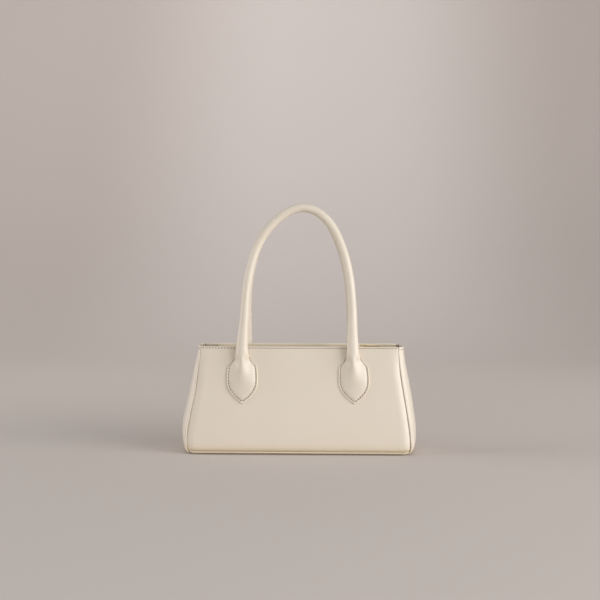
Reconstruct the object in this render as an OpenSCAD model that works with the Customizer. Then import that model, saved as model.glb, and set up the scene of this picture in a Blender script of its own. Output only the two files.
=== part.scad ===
// Small top-handle bag with leaning flat panels, softly swelling gussets,
// two rolled arch handles that end in domed leaf-shaped tabs, and a recessed top zip.
// The bag stands on its base: X runs along its length, Y from front to back, Z up.

/* [Body] */
// Width of the front and back panels near the base
foot_w = 240; // [210:1:280]
// Width of the front and back panels at the top edge
rim_w = 212; // [190:1:240]
// Height of the top edge above the table
body_h = 115; // [95:1:140]
// Depth of the bag from front to back at the base
foot_d = 78; // [62:1:96]
// Depth of the bag from front to back at the top edge
rim_d = 40; // [34:1:50]
// Thickness of the outer leather
leather_t = 1.6; // [1.2:0.1:2]
// Radius at which the front and back panels roll under to the base
roll_r = 5; // [4:0.5:7]
// Height over which the lower corners of the panels round off
corner_h = 7; // [5:0.5:10]
// How far the lower corners of the panels draw in
corner_in = 3.5; // [2:0.5:5]

/* [Base] */
// Thickness of the base leather with its turned edge
base_t = 2.2; // [1.6:0.1:3]
// Corner radius of the base in plan
base_corner_r = 6; // [4:0.5:10]
// Thickness of the stiff board over the base leather
base_board_t = 2; // [1.5:0.1:3]

/* [Gussets] */
// How far each gusset swells outwards at its fullest
swell = 7.6; // [5:0.2:10]
// How far each gusset still swells at the top edge
rim_swell = 3.8; // [2:0.2:5]
// Height above the base at which the gussets are fullest
swell_h = 40; // [28:1:50]

/* [Inside] */
// Thickness of the board inside the front and back panels
board_t = 1; // [0.8:0.1:1.4]
// Thickness of the fabric lining
lining_t = 0.6; // [0.4:0.1:0.9]
// Thickness of the leather facing that edges the mouth inside
facing_t = 1; // [0.8:0.1:1.4]
// Height of that facing
facing_h = 25; // [16:1:35]
// How far the boards stay inside the panel edges
board_inset = 5; // [3:0.5:8]

/* [Zip] */
// Length of the two leather strips that carry the zip
strip_l = 172; // [140:1:180]
// How far the zip sits towards the left end
zip_shift = 4; // [0:0.5:8]
// Depth of the strips below the top edge
strip_drop = 2.6; // [2:0.1:5]
// Thickness of the strips
strip_t = 1.2; // [0.9:0.1:1.6]
// Width of the channel between the strips
channel_w = 13; // [11:0.5:15]
// Thickness of the woven tapes
tape_t = 0.6; // [0.4:0.1:0.8]
// How far each tape is sewn in under its strip
tape_hold = 4.5; // [3:0.5:6]
// Distance from one tooth to the next on the same tape
tooth_pitch = 2.5; // [2.4:0.1:3.5]
// Width of a tooth along the chain
tooth_w = 1.05; // [0.8:0.05:1.1]
// How far a tooth reaches past the middle of the chain
tooth_reach = 0.8; // [0.6:0.1:0.9]
// Width of the bead that carries the teeth
bead_w = 0.6; // [0.4:0.1:1]
// Height of the teeth
tooth_h = 2; // [1.6:0.1:2.4]
// Bare tape between the strip ends and the chain
chain_end = 8; // [6:0.5:12]
// Length of each zip stop along the chain
stop_l = 1.6; // [1:0.1:2.5]
// Length of the slider
slider_l = 9; // [8:0.5:11]
// Width of the slider at its nose
slider_w = 8; // [7:0.5:9]
// Thickness of the slider plates
slider_t = 0.9; // [0.7:0.1:1.1]
// Length of the bridge over the puller pin
crown_l = 6; // [5:0.5:7]
// Width of the bridge
crown_w = 1.6; // [1.2:0.1:1.8]
// Thickness of the bridge
crown_t = 0.6; // [0.5:0.1:0.7]
// Diameter of the puller pin
pin_d = 1; // [0.8:0.1:1.2]
// Length of the puller from its pin
puller_l = 20; // [16:1:24]
// Width of the puller
puller_w = 6; // [5:0.5:7]
// Thickness of the puller
puller_t = 1.2; // [1:0.1:1.3]

/* [Handles] */
// Distance between the two legs of a handle
handle_span = 119; // [95:1:135]
// Height of the handle arch from its fold line to the middle of the tube
handle_rise = 153; // [120:1:180]
// Straight length of each leg above the fold line
leg_l = 5; // [2:0.5:12]
// Diameter of the rolled tube
tube_d = 9.3; // [8:0.1:11.5]
// Width of a leg at the fold line
neck_w = 13.8; // [11.5:0.1:16]
// Thickness of a leg at the fold line
neck_d = 10; // [9:0.1:11.5]
// Height over which the legs widen down to the fold line
flare_h = 90; // [60:1:110]
// Depth of the fold line below the top edge
fold_drop = 2; // [0.5:0.5:4]
// Thickness of the leather rolled around the core
cover_t = 1.5; // [1.1:0.1:1.9]

/* [Tabs] */
// Width of a tab at its widest
tab_w = 33.4; // [28:0.2:40]
// Width of a tab at its shoulders
shoulder_w = 29; // [24:0.2:33]
// Width of a tab at its neck
tab_neck_w = 15.6; // [14:0.2:19]
// Distance from the top edge down to the neck
tab_neck_drop = 12.4; // [10:0.2:15]
// Distance from the neck down to the shoulders
shoulder_drop = 9.4; // [7:0.2:12]
// Distance from the shoulders down to the widest place
wide_drop = 14; // [10:0.5:18]
// Distance from the widest place down to the tip
tip_drop = 25.3; // [20:0.5:30]
// Thickness of the flat flange that is sewn to the panel
flange_t = 1.4; // [1:0.1:2]
// Width of the flat flange outside the stitch line
flange_w = 2.2; // [1.6:0.1:3]
// Height of the dome at its edge
dome_edge = 0.8; // [0.5:0.1:1.2]
// Height of the dome close to the tip
dome_tip = 1.6; // [1.3:0.1:2.4]

/* [Hidden] */
// Gap between plies that lie on each other
ply = 0.12;
// Gap that lets parts pass each other or turn
run_gap = 0.3;
// Overrun of every cutting shape past the face that it cuts
over = 1;

// Shape of the panel sides: the share of the widening that each share of the depth has reached
side_bend_share = 1.5;
// Share of the roll under the panels, as a part of a quarter turn
roll_turn_share = 0.83;
// Fullness of the gusset section, its foot and its head
swell_section_share = 2.6;
swell_foot_share = 0.45;
// Squareness of the handle arch, where 2 is an ellipse
arch_share = 2.3;
// How quickly the legs widen
flare_share = 1.9;
// How blunt the tabs are towards the tip
tip_share = 2.4;
// How round the dome is across and along
dome_share = 0.6;
fade_share = 1.3;

cream = "#dccfbd";
pale = "#e6dccb";
cloth = "#b9a88f";
card = "#a58f73";
metal = "#cdb98a";

$fn = 48;

// Lean of the front and back panels
lean = atan((foot_d - rim_d) / 2 / body_h);
// Outer half depth at a height
function half_d(z) = rim_d / 2 + (body_h - z) * tan(lean);
// Share from nought to one
function unit(v) = max(0, min(1, v));
// Half width of the panels at a height
function half_w(z) =
    let(down = unit((body_h - z) / body_h),
        low = unit((z - base_t) / corner_h))
    rim_w / 2 + (foot_w - rim_w) / 2 * sin(90 * pow(down, side_bend_share))
    - corner_in * (1 - sqrt(1 - pow(1 - low, 2)));

// Start of the roll, measured down the slope from the top edge
roll_turn = 90 * roll_turn_share;
roll_run = (body_h - base_t - ply - roll_r * (1 - cos(roll_turn)) * sin(lean)) / cos(lean)
    - roll_r * sin(roll_turn);
// Where the rolled edge ends, on the inner side
roll_in = roll_r - (roll_r - leather_t) * cos(roll_turn);
roll_down = roll_run + (roll_r - leather_t) * sin(roll_turn);
roll_end_y = rim_d / 2 - roll_in * cos(lean) + roll_down * sin(lean);
roll_top_z = body_h - roll_run * cos(lean);

// Depth of the layers behind the outer face
board_off = leather_t + ply;
lining_off = board_off + board_t + ply;
// Inner face of the facing at the strips
strip_z = body_h - strip_drop;
mouth_y = half_d(strip_z) - (lining_off + facing_t) / cos(lean);

// Zip levels and ends
tape_z = strip_z - strip_t - ply - tape_t / 2;
tooth_z = tape_z - tooth_h / 2;
bead_in = tooth_reach + 2 * ply;
tape_in = bead_in + bead_w + ply;
tape_out = channel_w / 2 + tape_hold;
chain_l = strip_l - 2 * chain_end;
teeth = floor(chain_l / tooth_pitch);
chain_x = teeth * tooth_pitch / 2;
plate_z = tooth_z + tooth_h + run_gap / 2;
slider_x = chain_x - slider_l / 2;
pin_z = plate_z + slider_t + ply + puller_t / 2;
crown_z = pin_z + pin_d / 2 + ply;

// Fold line of a handle
fold_y = rim_d / 2 + (neck_d / 2 + run_gap) * cos(lean) + fold_drop * sin(lean);
fold_z = body_h + (neck_d / 2 + run_gap) * sin(lean) - fold_drop * cos(lean);
// Lean of a handle, so that the two tubes meet at the top with a running gap
handle_lean = asin((fold_y - tube_d / 2 - run_gap / 2) / handle_rise);

// Tab levels, measured down the slope from the top edge
tab_top = fold_drop + neck_d / 2 + run_gap;
tab_shoulder = tab_neck_drop + shoulder_drop;
tab_wide = tab_shoulder + wide_drop;
tab_tip = tab_wide + tip_drop;
dome_base = flange_t + 2 * ply;
dome_neck = neck_d + run_gap - dome_base;

// Part: frames of reference

// Origin at the front top edge, Z up the slope, Y into the bag
module on_front() translate([0, -rim_d / 2, body_h]) rotate([-lean, 0, 0]) children();

// The same piece at the back of the bag
module to_back() mirror([0, 1, 0]) children();

// A profile in the YZ plane, drawn out along X
module along_x(w) rotate([90, 0, 90]) linear_extrude(w, center = true) children();

// Part: lofts

// Closed skin over a row of rings with equal counts, capped at both ends
module skin(rings) {
    n = len(rings[0]);
    m = len(rings);
    polyhedron([for (r = rings) each r],
        concat([[for (j = [0:n - 1]) j]],
            [for (i = [0:m - 2]) for (j = [0:n - 1])
                [i * n + j, (i + 1) * n + j, (i + 1) * n + (j + 1) % n]],
            [for (i = [0:m - 2]) for (j = [0:n - 1])
                [i * n + j, (i + 1) * n + (j + 1) % n, i * n + (j + 1) % n]],
            [[for (j = [n - 1:-1:0]) (m - 1) * n + j]]));
}

// Skin whose last ring joins the first, as a tube with a wall does
module skin_loop(rings) {
    n = len(rings[0]);
    m = len(rings);
    polyhedron([for (r = rings) each r],
        concat([for (i = [0:m - 1]) for (j = [0:n - 1])
                [i * n + j, (i + 1) % m * n + j, (i + 1) % m * n + (j + 1) % n]],
            [for (i = [0:m - 1]) for (j = [0:n - 1])
                [i * n + j, (i + 1) % m * n + (j + 1) % n, i * n + (j + 1) % n]]));
}

// Part: panels, boards and linings

// Outline of a panel in front view, between two heights and drawn in by an inset
module panel_outline(z0, z1, inset) {
    steps = 24;
    side = [for (i = [0:steps]) let(z = z0 + (z1 - z0) * pow(i / steps, 2))
        [half_w(z) - inset, z]];
    rotate([90, 0, 0]) linear_extrude(2 * foot_d, center = true)
        polygon(concat(side, [for (i = [steps:-1:0]) [-side[i][0], side[i][1]]]));
}

// Section of the front panel: straight down the slope, then rolled under to the base
module panel_section() {
    arc = 10;
    outer = [for (i = [0:arc]) let(a = roll_turn * i / arc)
        [roll_r - roll_r * cos(a), -roll_run - roll_r * sin(a)]];
    inner_r = roll_r - leather_t;
    inner = [for (i = [arc:-1:0]) let(a = roll_turn * i / arc)
        [roll_r - inner_r * cos(a), -roll_run - inner_r * sin(a)]];
    polygon(concat([[0, 0]], outer, inner, [[leather_t, 0]]));
}

module panel() color(cream) intersection() {
    on_front() along_x(foot_w + over) panel_section();
    panel_outline(base_t + ply, body_h, 0);
}

// Flat layer that leans with the panel, at a depth behind its outer face
module layer(off, t, z0, z1, inset) intersection() {
    on_front() along_x(foot_w + over)
        translate([off, -2 * body_h]) square([t, 2 * body_h + facing_h]);
    panel_outline(z0, z1, inset);
}

module board() color(card)
    layer(board_off, board_t, roll_top_z + ply, body_h - leather_t, board_inset);

module facing() color(cream)
    layer(lining_off, facing_t, body_h - facing_h, body_h, leather_t);

module lining_flat() color(cloth)
    layer(lining_off, lining_t, roll_top_z + ply, body_h - facing_h - ply, leather_t);

// Part: gussets

// How far a gusset swells at a height
function swell_at(z) =
    let(low = unit((z - base_t) / swell_h),
        high = unit((z - swell_h) / (body_h - swell_h)),
        ease = high * high * (3 - 2 * high))
    swell * pow(sin(90 * low), swell_foot_share) - (swell - rim_swell) * ease;

// One ring of a gusset ply: the inner curve there and the outer curve back
function gusset_ring(z, off, t, edge) =
    let(cols = 14,
        d = half_d(z),
        e = d - edge,
        x = half_w(z) + ply + off,
        curve = [for (j = [0:cols]) let(y = e * (2 * j / cols - 1))
            [x + swell_at(z) * (1 - pow(abs(y / d), swell_section_share)), y, z]])
    concat(curve, [for (j = [cols:-1:0]) curve[j] + [t, 0, 0]]);

// Right gusset ply from one height to another
module gusset_ply(off, t, edge, z0, z1) {
    rows = 16;
    skin([for (i = [0:rows]) gusset_ring(z0 + (z1 - z0) * pow(i / rows, 1.6), off, t, edge)]);
}

module gusset() color(pale)
    gusset_ply(0, leather_t, ply, base_t + ply, body_h);

module lining_side() color(cloth)
    gusset_ply(-ply - lining_t, lining_t, lining_off + facing_t + 2 * ply,
        roll_top_z + ply, body_h - leather_t);

// Part: base

// Plate with round corners, from the middle of the bag
module round_plate(w, d, t, r) linear_extrude(t) {
    square([w - 2 * r, d], center = true);
    square([w, d - 2 * r], center = true);
    for (x = [-1, 1]) for (y = [-1, 1])
        translate([x * (w / 2 - r), y * (d / 2 - r)]) circle(r);
}

module base_panel() color(cream)
    round_plate(foot_w, foot_d, base_t, base_corner_r);

// The base board and its lining lie between the rolled panel edges
base_in_w = 2 * (half_w(base_t) - ply);
base_in_d = 2 * (roll_end_y - ply);
base_lining_z = base_t + base_board_t + 2 * ply;

module base_board() color(card)
    translate([0, 0, base_t + ply]) round_plate(base_in_w, base_in_d, base_board_t, base_corner_r);

module lining_base() color(cloth)
    translate([0, 0, base_lining_z])
        round_plate(base_in_w, base_in_d, lining_t, base_corner_r);

// Part: zip

module at_zip() translate([-zip_shift, 0, 0]) children();

// Back strip of leather, from the channel to the facing
module strip() color(cream) at_zip()
    translate([-strip_l / 2, channel_w / 2, strip_z - strip_t])
        cube([strip_l, mouth_y - ply - channel_w / 2, strip_t]);

module tape() color(cloth) at_zip()
    translate([-strip_l / 2, tape_in, tape_z - tape_t / 2])
        cube([strip_l, tape_out - tape_in, tape_t]);

// Comb of teeth on its bead, set along by a share of the pitch
module teeth_row(set) {
    x0 = -chain_x;
    comb = [for (i = [0:teeth - 1]) let(x = x0 + (i + set) * tooth_pitch)
        each [[x, bead_in], [x, -tooth_reach], [x + tooth_w, -tooth_reach], [x + tooth_w, bead_in]]];
    color(metal) at_zip() translate([0, 0, tooth_z]) linear_extrude(tooth_h)
        polygon(concat([[x0, bead_in]], comb,
            [[chain_x, bead_in], [chain_x, bead_in + bead_w], [x0, bead_in + bead_w]]));
}
front_set_share = 0.05;
back_set_share = 0.55;

// Stops stand clear of the chain ends by a running gap
module zip_top_stops() color(metal) at_zip() {
    for (side = [0, 1]) mirror([0, side, 0])
        translate([chain_x + ply, ply, tooth_z])
            cube([stop_l, bead_in + bead_w - ply, tooth_h]);
}

module zip_bottom_stop() color(metal) at_zip()
    translate([-chain_x - ply - stop_l, -bead_in - bead_w, tooth_z])
        cube([stop_l, 2 * (bead_in + bead_w), tooth_h]);

// Slider plate in plan, wide at the nose and narrow at the tail
module slider_plan() {
    waist_share = 0.72;
    shoulder_share = 0.3;
    nose_share = 0.85;
    h = slider_w / 2;
    l = slider_l / 2;
    polygon([[l, -h * nose_share], [l, h * nose_share], [l * shoulder_share, h],
        [-l * shoulder_share, h * waist_share], [-l, h * waist_share],
        [-l, -h * waist_share], [-l * shoulder_share, -h * waist_share], [l * shoulder_share, -h]]);
}

// One slider plate with the lips that guide the teeth
module slider_half() {
    lip_h = (tooth_h - tape_t) / 2 - run_gap / 2;
    lip_in = bead_in + bead_w + ply;
    linear_extrude(slider_t) slider_plan();
    difference() {
        translate([0, 0, -lip_h]) linear_extrude(lip_h + slider_t / 2) slider_plan();
        translate([-slider_l, -lip_in, -lip_h - over])
            cube([2 * slider_l, 2 * lip_in, lip_h + over]);
    }
}

// Slider with its lower plate, and the bridge that traps the puller pin
module slider_body() color(metal) at_zip() translate([slider_x, 0, 0]) {
    translate([0, 0, plate_z]) slider_half();
    translate([0, 0, 2 * tape_z - plate_z]) mirror([0, 0, 1]) slider_half();
    difference() {
        translate([-crown_l / 2, -crown_w / 2, plate_z + slider_t / 2])
            cube([crown_l, crown_w, crown_z + crown_t - plate_z - slider_t / 2]);
        translate([-crown_l / 2 + crown_t, -crown_w / 2 - over, plate_z + slider_t])
            cube([crown_l - 2 * crown_t, crown_w + 2 * over, crown_z - plate_z - slider_t]);
    }
}

// Puller: a pin under the bridge, a window that clears it and a plain drop plate
module puller() color(metal) at_zip() translate([slider_x, 0, pin_z]) {
    window = crown_l / 2 + run_gap;
    window_w = crown_w + 2 * run_gap;
    rotate([90, 0, 0]) cylinder(d = pin_d, h = puller_w - puller_t, center = true);
    difference() {
        union() {
            for (side = [-1, 1]) translate([0, side * (puller_w + window_w) / 4, 0])
                rotate([90, 0, 0]) cylinder(d = puller_t, h = (puller_w - window_w) / 2, center = true);
            translate([0, -puller_w / 2, -puller_t / 2]) cube([puller_l - puller_w / 2, puller_w, puller_t]);
            translate([puller_l - puller_w / 2, 0, -puller_t / 2]) cylinder(d = puller_w, h = puller_t);
        }
        translate([-puller_t / 2 - over, -window_w / 2, -puller_t / 2 - over])
            cube([window + puller_t / 2 + over, window_w, puller_t + 2 * over]);
    }
}

// Part: handles

// Arch of the handle from the left leg over to the right one, in its own plane
function arch_pt(a) =
    let(c = cos(a), s = max(0, sin(a)))
    [-sign(c) * handle_span / 2 * pow(abs(c), 2 / arch_share),
        leg_l + (handle_rise - leg_l) * pow(s, 2 / arch_share)];

// Rounded end below the fold line: height and width share at an angle
function end_pt(side, a) = [side * handle_span / 2, -neck_d / 2 * sin(a)];

// The ball end of the leather stops where its wall is still whole
cover_end = acos(unit((neck_w - 2 * cover_t + ply) / neck_w));
function path_pts(ends) = concat([for (a = ends) end_pt(-1, a)],
    [[-handle_span / 2, 0]],
    [for (i = [0:arch_steps]) arch_pt(180 * i / arch_steps)],
    [[handle_span / 2, 0]],
    [for (k = [len(ends) - 1:-1:0]) end_pt(1, ends[k])]);
arch_steps = 40;

// Half width and half thickness of the tube at a height above the fold line
function flare(z) = pow(1 - unit(z / flare_h), flare_share);
function tube_rx(z) = tube_d / 2 + (neck_w - tube_d) / 2 * flare(z);
function tube_ry(z) = tube_d / 2 + (neck_d - tube_d) / 2 * flare(z);

// Direction of the path at a point
function path_dir(p, i) =
    let(a = p[max(0, i - 1)], b = p[min(len(p) - 1, i + 1)])
    (b - a) / norm(b - a);

// One ring of the tube at a wall's depth; below the fold line it also stays inside the ball end
function tube_ring(p, i, sides, wall) =
    let(c = p[i], t = path_dir(p, i),
        s = c[1] < 0 ? sqrt(1 - pow(min(1, -2 * c[1] / neck_d), 2)) : 1,
        rx = min(s * tube_rx(c[1]), tube_rx(c[1]) - wall),
        ry = min(s * tube_ry(c[1]), tube_ry(c[1]) - wall))
    [for (k = [0:sides - 1]) let(a = 360 * k / sides, u = rx * cos(a))
        [c[0] + u * t[1], ry * sin(a), c[1] - u * t[0]]];

module handle_frame() translate([0, -fold_y, fold_z]) rotate([-handle_lean, 0, 0]) children();

// Leather rolled into a tube around the core
module handle_cover() color(pale) handle_frame() {
    p = path_pts([cover_end, cover_end / 2]);
    last = len(p) - 1;
    skin_loop(concat([for (i = [0:last]) tube_ring(p, i, 12, 0)],
        [for (i = [last:-1:0]) tube_ring(p, i, 12, cover_t)]));
}

// Cord core, whose round ends stand out of the leather and close the ball ends
core_wall = cover_t + ply;
module handle_core() color(card) handle_frame() {
    p = path_pts([80, 62, 45, 20]);
    skin([for (i = [0:len(p) - 1]) tube_ring(p, i, 10, core_wall)]);
}

// Part: tabs

// Half width of a tab at a distance down from the top edge; the inset grows from the neck
function tab_half(s, inset) =
    let(w_top = neck_w / 2,
        w_neck = tab_neck_w / 2,
        w_shoulder = shoulder_w / 2 - inset,
        w_wide = tab_w / 2 - inset,
        tip = tab_tip - 1.2 * inset,
        u = unit((s - tab_top) / (tab_neck_drop - tab_top)),
        v = unit((s - tab_neck_drop) / shoulder_drop),
        w = unit((s - tab_shoulder) / wide_drop),
        q = unit((s - tab_wide) / (tip - tab_wide)))
    s < tab_neck_drop ? w_top + (w_neck - w_top) * u :
    s < tab_shoulder ? w_neck + (w_shoulder - w_neck) * v :
    s < tab_wide ? w_wide - (w_wide - w_shoulder) * pow(1 - w, 2) :
    w_wide * (1 - pow(q, tip_share));

// Flat flange of a tab, sewn to the panel
module flange(side) color(cream) on_front() translate([side * handle_span / 2, -ply, 0]) {
    steps = 40;
    edge = [for (i = [0:steps - 1]) let(s = tab_top + (tab_tip - tab_top) * i / steps)
        [tab_half(s, 0), -s]];
    rotate([90, 0, 0]) linear_extrude(flange_t)
        polygon(concat(edge, [[0, -tab_tip]], [for (i = [steps - 1:-1:0]) [-edge[i][0], edge[i][1]]]));
}

// Height of the dome along the middle of the tab
function dome_h(s) =
    let(u = unit((s - tab_top) / (tab_tip - tab_top)))
    dome_tip + (dome_neck - dome_tip) * cos(90 * pow(u, fade_share));

// Domed part of a tab: the ridge of the handle spreads and fades towards the tip
module tab(side) color(pale) on_front() translate([side * handle_span / 2, -dome_base, 0]) {
    rows = 20;
    cols = 12;
    tip = tab_tip - 1.3 * flange_w;
    skin([for (i = [0:rows])
        let(s = tab_top + (tip - tab_top) * i / rows,
            w = max(tab_half(s, flange_w), dome_edge),
            h = dome_h(s) - dome_edge)
        concat([for (j = [0:cols]) let(a = 180 * j / cols)
                [-w * cos(a), -dome_edge - h * pow(sin(a), 2 * dome_share), -s]],
            [[w, 0, -s], [-w, 0, -s]])]);
}

panel();  // front_panel
to_back() panel();  // back_panel
mirror([1, 0, 0]) gusset();  // left_gusset
gusset();  // right_gusset
base_panel();
board();  // front_board
to_back() board();  // back_board
base_board();
facing();  // front_facing
to_back() facing();  // back_facing
lining_flat();  // lining_front
to_back() lining_flat();  // lining_back
mirror([1, 0, 0]) lining_side();  // lining_left
lining_side();  // lining_right
lining_base();
to_back() strip();  // zip_strip_front
strip();  // zip_strip_back
to_back() tape();  // zip_tape_front
tape();  // zip_tape_back
to_back() teeth_row(front_set_share);  // zip_teeth_front
teeth_row(back_set_share);  // zip_teeth_back
zip_top_stops();
zip_bottom_stop();
slider_body();
puller();
handle_cover();  // front_handle_cover
handle_core();  // front_handle_core
to_back() handle_cover();  // back_handle_cover
to_back() handle_core();  // back_handle_core
tab(-1);  // front_left_tab
tab(1);  // front_right_tab
to_back() tab(-1);  // back_left_tab
to_back() tab(1);  // back_right_tab
flange(-1);  // front_left_flange
flange(1);  // front_right_flange
to_back() flange(-1);  // back_left_flange
to_back() flange(1);  // back_right_flange
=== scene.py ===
# %% [markdown]
# # A small cream leather bag, dressed over its measured frame
# The bag is a stiff little tote: two leaning panels, two soft gussets, a base, and a pair of rolled arch
# handles whose ends spread into leaf-shaped tabs. The construction model already fixes every size and every
# joint. Here each leather piece gets its real surface: turned edges, seams, stitches, grain and sheen.

# %% Load the frame
from math import asin, atan, atan2, copysign, cos, degrees, exp, hypot, pi, radians, sin, sqrt, tan

import bmesh
import bpy
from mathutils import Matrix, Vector, noise


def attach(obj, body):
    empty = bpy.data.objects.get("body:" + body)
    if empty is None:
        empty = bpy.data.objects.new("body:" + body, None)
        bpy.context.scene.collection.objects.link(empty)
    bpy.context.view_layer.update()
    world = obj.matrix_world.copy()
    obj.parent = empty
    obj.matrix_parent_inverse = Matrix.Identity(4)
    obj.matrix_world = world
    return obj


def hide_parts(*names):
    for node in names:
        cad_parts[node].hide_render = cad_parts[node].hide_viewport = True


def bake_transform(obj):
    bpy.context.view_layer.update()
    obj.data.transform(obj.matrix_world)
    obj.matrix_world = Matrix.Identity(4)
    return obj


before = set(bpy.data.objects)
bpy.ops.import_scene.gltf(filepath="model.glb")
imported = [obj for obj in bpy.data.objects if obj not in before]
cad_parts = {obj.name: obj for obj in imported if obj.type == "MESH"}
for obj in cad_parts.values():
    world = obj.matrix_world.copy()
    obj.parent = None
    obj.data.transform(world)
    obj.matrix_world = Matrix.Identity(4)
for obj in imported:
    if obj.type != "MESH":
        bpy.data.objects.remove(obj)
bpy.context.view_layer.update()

# %% [markdown]
# ## Sizes
# The pieces follow the frame, so their sizes are those of the construction drawing, in millimetres. They are
# kept in one place because the panels, the gussets, the tabs and the seams all share the same edges.

# %% Sizes of the bag, in millimetres
MM = 0.001
FOOT_W, RIM_W, BODY_H = 240.0, 212.0, 115.0  # the panels
FOOT_D, RIM_D = 78.0, 40.0  # depth of the bag, low and high
LEATHER, ROLL_R = 1.6, 5.0  # thickness, and the panels' rolled foot
CORNER_H, CORNER_IN, BASE_T = 7.0, 3.5, 2.2  # lower corners and base
SWELL, RIM_SWELL, SWELL_H = 7.6, 3.8, 40.0  # gussets
HANDLE_SPAN, HANDLE_RISE = 119.0, 153.0
TUBE_D, NECK_W, NECK_D = 9.3, 13.8, 10.0  # the roll, and its neck at the fold
FLARE_H, FOLD_DROP, RUN_GAP = 90.0, 2.0, 0.3
TAB_W, SHOULDER_W, TAB_NECK_W = 33.4, 31.4, 15.0
NECK_DROP, SHOULDER_DROP, WIDE_DROP, TIP_DROP = 12.4, 9.4, 14.0, 26.0
FLANGE_W = 2.2
STITCH_PITCH, STITCH_DROP = 3.3, 2.0
SIDES = ((-1, "front"), (1, "back"))
HANDS = ((-1, "left"), (1, "right"))

LEAN = atan((FOOT_D - RIM_D) / 2 / BODY_H)
TAB_TOP = FOLD_DROP + NECK_D / 2 + RUN_GAP
SHOULDER_S = NECK_DROP + SHOULDER_DROP
WIDE_S = SHOULDER_S + WIDE_DROP
TIP_S = WIDE_S + TIP_DROP
FOLD_Y = RIM_D / 2 + (NECK_D / 2 + RUN_GAP) * cos(LEAN) + FOLD_DROP * sin(LEAN)
FOLD_Z = BODY_H + (NECK_D / 2 + RUN_GAP) * sin(LEAN) - FOLD_DROP * cos(LEAN)
HANDLE_LEAN = asin((FOLD_Y - TUBE_D / 2 - RUN_GAP / 2) / HANDLE_RISE)
print(f"panels lean {degrees(LEAN):.1f} degrees, handles {degrees(HANDLE_LEAN):.1f} degrees")


# %% Small mathematics used everywhere
def unit(v):
    """Keeps a share between nought and one."""
    return max(0.0, min(1.0, v))


def ease(v):
    """From nought to one with a soft start and a soft end."""
    v = unit(v)
    return v * v * (3 - 2 * v)


def bell(v, width):
    """One at nought, and next to nothing two widths away."""
    return exp(-(v / width) ** 2)


def mm(x, y, z):
    """A place or a step, from millimetres."""
    return Vector((x, y, z)) * MM


def uneven(a, b, c):
    """Smooth noise of about one either way, the same every time."""
    return noise.noise(Vector((a, b, c)))


def spread(lo, hi, count):
    """Even steps from one value to another, both of them included."""
    return [lo + (hi - lo) * i / (count - 1) for i in range(count)]


print("half way eased:", ease(0.5))


# %% The body's outline
SIDE_BEND = 1.5  # the sides curve in towards the rim as a quarter sine of this power
LEFT_FULLNESS = ((1.2, 35, 30), (0.8, 20, 14), (1.2, 90, 14))  # how much, at what height, over what height


def half_d(z):
    """Half depth of the bag's outside at a height."""
    return RIM_D / 2 + (BODY_H - z) * tan(LEAN)


def half_w(z, hand=1):
    """Half width of the panels at a height. The left seam (hand -1) was sewn a little fuller."""
    down = unit((BODY_H - z) / BODY_H)
    low = unit((z - BASE_T) / CORNER_H)
    bend = sin(pi / 2 * down ** SIDE_BEND)
    corner = CORNER_IN * (1 - sqrt(1 - (1 - low) ** 2))
    sewn = sum(most * bell(z - at, tall) for most, at, tall in LEFT_FULLNESS) if hand < 0 else 0.0
    return RIM_W / 2 + (FOOT_W - RIM_W) / 2 * bend - corner + sewn


def on_panel(x, out, down, side=-1):
    """World point from a place across, out of and down the slope of a panel; side -1 is the front."""
    y = RIM_D / 2 + out * cos(LEAN) + down * sin(LEAN)
    z = BODY_H + out * sin(LEAN) - down * cos(LEAN)
    return mm(x, side * y, z)


def panel_normal(side):
    return Vector((0.0, side * cos(LEAN), sin(LEAN)))


print(f"half width at the foot roll: {half_w(CORNER_H + BASE_T):.1f} mm")

# %% [markdown]
# ## Building meshes from grids
# Most leather pieces are a sheet that bends along two directions, so a grid of points is the plainest way to
# make them: rows along one direction, columns along the other. A ring of columns closes on itself for tubes.


# %% Mesh helpers
def finish_mesh(name, points, faces):
    mesh = bpy.data.meshes.new(name)
    mesh.from_pydata([tuple(p) for p in points], [], faces)
    piece = bpy.data.objects.new(name, mesh)
    bpy.context.collection.objects.link(piece)
    bm = bmesh.new()
    bm.from_mesh(mesh)
    bmesh.ops.remove_doubles(bm, verts=bm.verts, dist=1e-7)
    bmesh.ops.recalc_face_normals(bm, faces=bm.faces)
    bm.to_mesh(mesh)
    bm.free()
    for face in mesh.polygons:
        face.use_smooth = True
    return piece


def grid_faces(row_count, count, ring, start=0):
    faces = []
    for i in range(row_count - 1):
        for j in range(count if ring else count - 1):
            k = (j + 1) % count
            a, b = start + i * count, start + (i + 1) * count
            faces.append((a + j, a + k, b + k, b + j))
    return faces


def grid_piece(name, rows, ring=False, caps=False, infill=False, extra_faces=()):
    """A smooth mesh through rows of points. ring joins the last column to the first, caps closes both ends
    with a fan, and infill closes the last row with faces from each point to the one that mirrors it."""
    count = len(rows[0])
    points = [p for row in rows for p in row]
    faces = grid_faces(len(rows), count, ring) + list(extra_faces)
    if infill:
        last = (len(rows) - 1) * count
        faces += [(last + i, last + i + 1, last + count - 2 - i, last + count - 1 - i)
                  for i in range(count // 2 - 1)]
    if caps:
        for i in (0, len(rows) - 1):
            points.append(sum((Vector(p) for p in rows[i]), Vector()) / count)
            faces += [(i * count + j, i * count + (j + 1) % count, len(points) - 1) for j in range(count)]
    return finish_mesh(name, points, faces)


def dress(piece, material, body, slot, *nodes):
    """Gives a piece its material, the body that it rides on, and the solids that it stands for. slot is not
    used.
    """
    piece.data.materials.append(material)
    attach(piece, body)
    if nodes:
        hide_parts(*nodes)


def put(thing, **values):
    """Sets several attributes of a Blender object at once."""
    for key, value in values.items():
        setattr(thing, key, value)


def tell(piece):
    print(f"{piece.name}: {len(piece.data.vertices)} vertices")


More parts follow.
